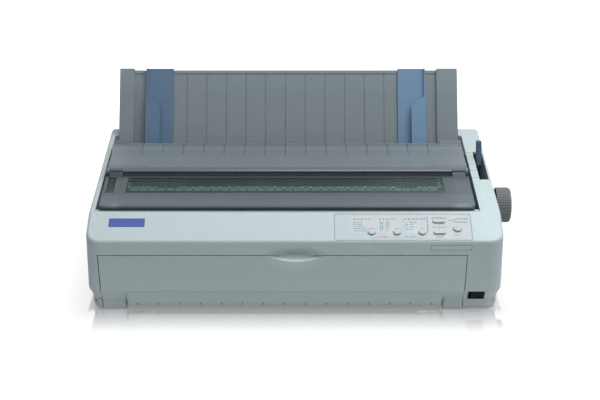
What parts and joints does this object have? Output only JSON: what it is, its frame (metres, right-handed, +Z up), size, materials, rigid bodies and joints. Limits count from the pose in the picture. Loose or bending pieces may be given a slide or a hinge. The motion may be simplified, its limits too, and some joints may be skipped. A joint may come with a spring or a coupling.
{
  "type": "dot matrix printer",
  "caption": "Wide carriage dot matrix printer with a hinged lid and rear cover, tilting paper guide, front cover, platen knob, tractors and a belt driven print carriage.",
  "frame": {"origin": "middle of the whole object's footprint, on the surface it stands on", "axes": "+X to the right seen from the front, +Y to the rear, +Z up"},
  "size_m": [0.6358, 0.4032, 0.2565],
  "materials": {
    "case_plastic": "fine texture",
    "cover_plastic": "fine texture",
    "foot_rubber": "matte",
    "screw_steel": "satin",
    "panel_plastic": "smooth",
    "board_green": "solder mask",
    "lamp_green": "translucent",
    "badge_blue": "satin",
    "black_plastic": "satin",
    "smoked_plastic": "fine texture",
    "bright_steel": "ground",
    "window_clear": "smoked, clear",
    "guide_plastic": "fine texture",
    "blue_plastic": "satin",
    "steel_plate": "zinc plated",
    "bush_brass": "sintered",
    "chute_plastic": "satin",
    "platen_rubber": "ground",
    "white_nylon": "natural",
    "knob_plastic": "satin",
    "motor_metal": "plated",
    "tractor_plastic": "satin",
    "head_aluminium": "dark cast",
    "belt_rubber": "matte",
    "cartridge_plastic": "satin",
    "button_plastic": "smooth"
  },
  "bodies": {
    "housing": {"upper_case": "case_plastic", "lower_case": "case_plastic", "rubber_feet": "foot_rubber", "case_screws": "screw_steel", "control_panel_plate": "panel_plastic", "panel_board": "board_green", "indicator_lights": "lamp_green", "badge_plate": "badge_blue", "switch_frame": "black_plastic", "base_frame": "steel_plate", "left_side_frame": "steel_plate", "right_side_frame": "steel_plate", "shaft_bushings": "bush_brass", "carriage_shaft": "bright_steel", "carriage_rail": "steel_plate", "tractor_guide_shaft": "bright_steel", "paper_path": "chute_plastic", "feed_motor": "motor_metal", "carriage_belt": "belt_rubber", "carriage_motor": "motor_metal", "ribbon_cartridge": "cartridge_plastic", "main_board": "board_green", "power_supply": "board_green", "interface_connectors": "black_plastic", "power_inlet": "black_plastic"},
    "front_cover": {"front_cover": "cover_plastic"},
    "rear_cover": {"rear_cover": "smoked_plastic", "lid_hinge_rod": "bright_steel"},
    "printer_lid": {"printer_lid": "smoked_plastic", "lid_window": "window_clear"},
    "paper_guide": {"paper_guide": "guide_plastic"},
    "left_edge_guide": {"left_edge_guide": "blue_plastic"},
    "right_edge_guide": {"right_edge_guide": "blue_plastic"},
    "platen": {"platen_shaft": "bright_steel", "platen_roller": "platen_rubber", "platen_gear": "white_nylon"},
    "knob": {"knob_shaft": "white_nylon", "platen_knob": "knob_plastic"},
    "feed_pinion": {"feed_pinion": "white_nylon"},
    "idler_gear": {"idler_gear": "white_nylon"},
    "tractor_drive": {"tractor_drive_shaft": "white_nylon"},
    "left_tractor": {"left_tractor": "tractor_plastic"},
    "right_tractor": {"right_tractor": "tractor_plastic"},
    "left_tractor_flap": {"left_tractor_flap": "tractor_plastic"},
    "right_tractor_flap": {"right_tractor_flap": "tractor_plastic"},
    "carriage": {"carriage": "chute_plastic", "print_head": "head_aluminium"},
    "drive_pulley": {"drive_pulley": "white_nylon"},
    "idler_pulley": {"idler_pulley": "white_nylon"},
    "ribbon_knob": {"ribbon_knob": "white_nylon"},
    "release_lever": {"release_lever": "steel_plate", "release_lever_grip": "blue_plastic"},
    "thickness_lever": {"thickness_lever": "blue_plastic"},
    "power_rocker": {"power_rocker": "black_plastic"},
    "select_button_1": {"select_button_1": "button_plastic"},
    "select_button_2": {"select_button_2": "button_plastic"},
    "select_button_3": {"select_button_3": "button_plastic"},
    "feed_button": {"feed_button": "button_plastic"},
    "eject_button": {"eject_button": "button_plastic"},
    "pause_button": {"pause_button": "button_plastic"}
  },
  "joints": [
    {"name": "front_cover_hinge", "type": "hinge", "parent": "housing", "child": "front_cover", "pos_m": [-0.0129, -0.1836, 0.012], "axis": [1, 0, 0], "range_deg": [0, 60]},
    {"name": "rear_cover_hinge", "type": "hinge", "parent": "housing", "child": "rear_cover", "pos_m": [-0.0129, 0.0744, 0.1455], "axis": [-1, 0, 0], "range_deg": [0, 70]},
    {"name": "printer_lid_hinge", "type": "hinge", "parent": "rear_cover", "child": "printer_lid", "pos_m": [-0.0129, -0.02661, 0.156], "axis": [-1, 0, 0], "range_deg": [0, 100]},
    {"name": "paper_guide_hinge", "type": "hinge", "parent": "housing", "child": "paper_guide", "pos_m": [-0.0129, 0.12248, 0.13347], "axis": [-1, 0, 0], "range_deg": [0, 45]},
    {"name": "left_edge_guide_slide", "type": "slide", "parent": "paper_guide", "child": "left_edge_guide", "axis": [1, 0, 0], "range_m": [-0.018, 0.15]},
    {"name": "right_edge_guide_slide", "type": "slide", "parent": "paper_guide", "child": "right_edge_guide", "axis": [1, 0, 0], "range_m": [-0.15, 0.018]},
    {"name": "platen_spin", "type": "hinge", "parent": "housing", "child": "platen", "pos_m": [-0.0129, -0.02861, 0.1133], "axis": [1, 0, 0], "continuous": true},
    {"name": "knob_spin", "type": "hinge", "parent": "housing", "child": "knob", "pos_m": [0.2871, -0.05861, 0.1133], "axis": [1, 0, 0], "continuous": true},
    {"name": "feed_pinion_spin", "type": "hinge", "parent": "housing", "child": "feed_pinion", "pos_m": [0.2236, -0.01661, 0.09252], "axis": [1, 0, 0], "continuous": true},
    {"name": "idler_gear_spin", "type": "hinge", "parent": "housing", "child": "idler_gear", "pos_m": [0.2236, 0.00915, 0.10899], "axis": [1, 0, 0], "continuous": true},
    {"name": "tractor_drive_spin", "type": "hinge", "parent": "housing", "child": "tractor_drive", "pos_m": [-0.0129, 0.03839, 0.088], "axis": [1, 0, 0], "continuous": true},
    {"name": "carriage_slide", "type": "slide", "parent": "housing", "child": "carriage", "axis": [1, 0, 0], "range_m": [-0.345, 0.06]},
    {"name": "drive_pulley_spin", "type": "hinge", "parent": "housing", "child": "drive_pulley", "pos_m": [-0.2559, -0.10361, 0.06], "axis": [0, 0, 1], "range_deg": [-400, 2240]},
    {"name": "idler_pulley_spin", "type": "hinge", "parent": "housing", "child": "idler_pulley", "pos_m": [0.2001, -0.10361, 0.06], "axis": [0, 0, 1], "range_deg": [-400, 2240]},
    {"name": "ribbon_knob_spin", "type": "hinge", "parent": "housing", "child": "ribbon_knob", "pos_m": [-0.2129, -0.11311, 0.132], "axis": [0, 0, 1], "continuous": true},
    {"name": "left_tractor_slide", "type": "slide", "parent": "housing", "child": "left_tractor", "axis": [1, 0, 0], "range_m": [-0.02, 0.08]},
    {"name": "right_tractor_slide", "type": "slide", "parent": "housing", "child": "right_tractor", "axis": [1, 0, 0], "range_m": [-0.08, 0.02]},
    {"name": "left_tractor_flap_hinge", "type": "hinge", "parent": "left_tractor", "child": "left_tractor_flap", "pos_m": [-0.2305, 0.05439, 0.103], "axis": [0, -1, 0], "range_deg": [0, 100]},
    {"name": "right_tractor_flap_hinge", "type": "hinge", "parent": "right_tractor", "child": "right_tractor_flap", "pos_m": [0.1807, 0.05439, 0.103], "axis": [0, 1, 0], "range_deg": [0, 100]},
    {"name": "release_lever_hinge", "type": "hinge", "parent": "housing", "child": "release_lever", "pos_m": [0.2801, 0.02339, 0.06], "axis": [1, 0, 0], "range_deg": [0, 36]},
    {"name": "thickness_lever_hinge", "type": "hinge", "parent": "housing", "child": "thickness_lever", "pos_m": [-0.2949, -0.09361, 0.084], "axis": [-1, 0, 0], "range_deg": [0, 10]},
    {"name": "power_rocker_hinge", "type": "hinge", "parent": "housing", "child": "power_rocker", "pos_m": [0.2546, -0.18726, 0.01948], "axis": [0, -0.4961, 0.8682], "range_deg": [-12, 0]},
    {"name": "select_button_1_press", "type": "slide", "parent": "housing", "child": "select_button_1", "axis": [0, 0.3812, -0.9245], "range_m": [0, 0.0008], "stiffness_N_per_m": 400, "springref_m": -0.0008},
    {"name": "select_button_2_press", "type": "slide", "parent": "housing", "child": "select_button_2", "axis": [0, 0.3812, -0.9245], "range_m": [0, 0.0008], "stiffness_N_per_m": 400, "springref_m": -0.0008},
    {"name": "select_button_3_press", "type": "slide", "parent": "housing", "child": "select_button_3", "axis": [0, 0.3812, -0.9245], "range_m": [0, 0.0008], "stiffness_N_per_m": 400, "springref_m": -0.0008},
    {"name": "feed_button_press", "type": "slide", "parent": "housing", "child": "feed_button", "axis": [0, 0.3812, -0.9245], "range_m": [0, 0.0008], "stiffness_N_per_m": 400, "springref_m": -0.0008},
    {"name": "eject_button_press", "type": "slide", "parent": "housing", "child": "eject_button", "axis": [0, 0.3812, -0.9245], "range_m": [0, 0.0008], "stiffness_N_per_m": 400, "springref_m": -0.0008},
    {"name": "pause_button_press", "type": "slide", "parent": "housing", "child": "pause_button", "axis": [0, 0.3812, -0.9245], "range_m": [0, 0.0008], "stiffness_N_per_m": 400, "springref_m": -0.0008}
  ],
  "couplings": [
    {"joint": "knob_spin", "follows": "platen_spin", "ratio": -1.5},
    {"joint": "feed_pinion_spin", "follows": "platen_spin", "ratio": -3},
    {"joint": "idler_gear_spin", "follows": "platen_spin", "ratio": -0.9},
    {"joint": "tractor_drive_spin", "follows": "platen_spin", "ratio": 1.125},
    {"joint": "drive_pulley_spin", "follows": "carriage_slide", "rad_per_m": -112.36},
    {"joint": "idler_pulley_spin", "follows": "carriage_slide", "rad_per_m": -112.36}
  ]
}
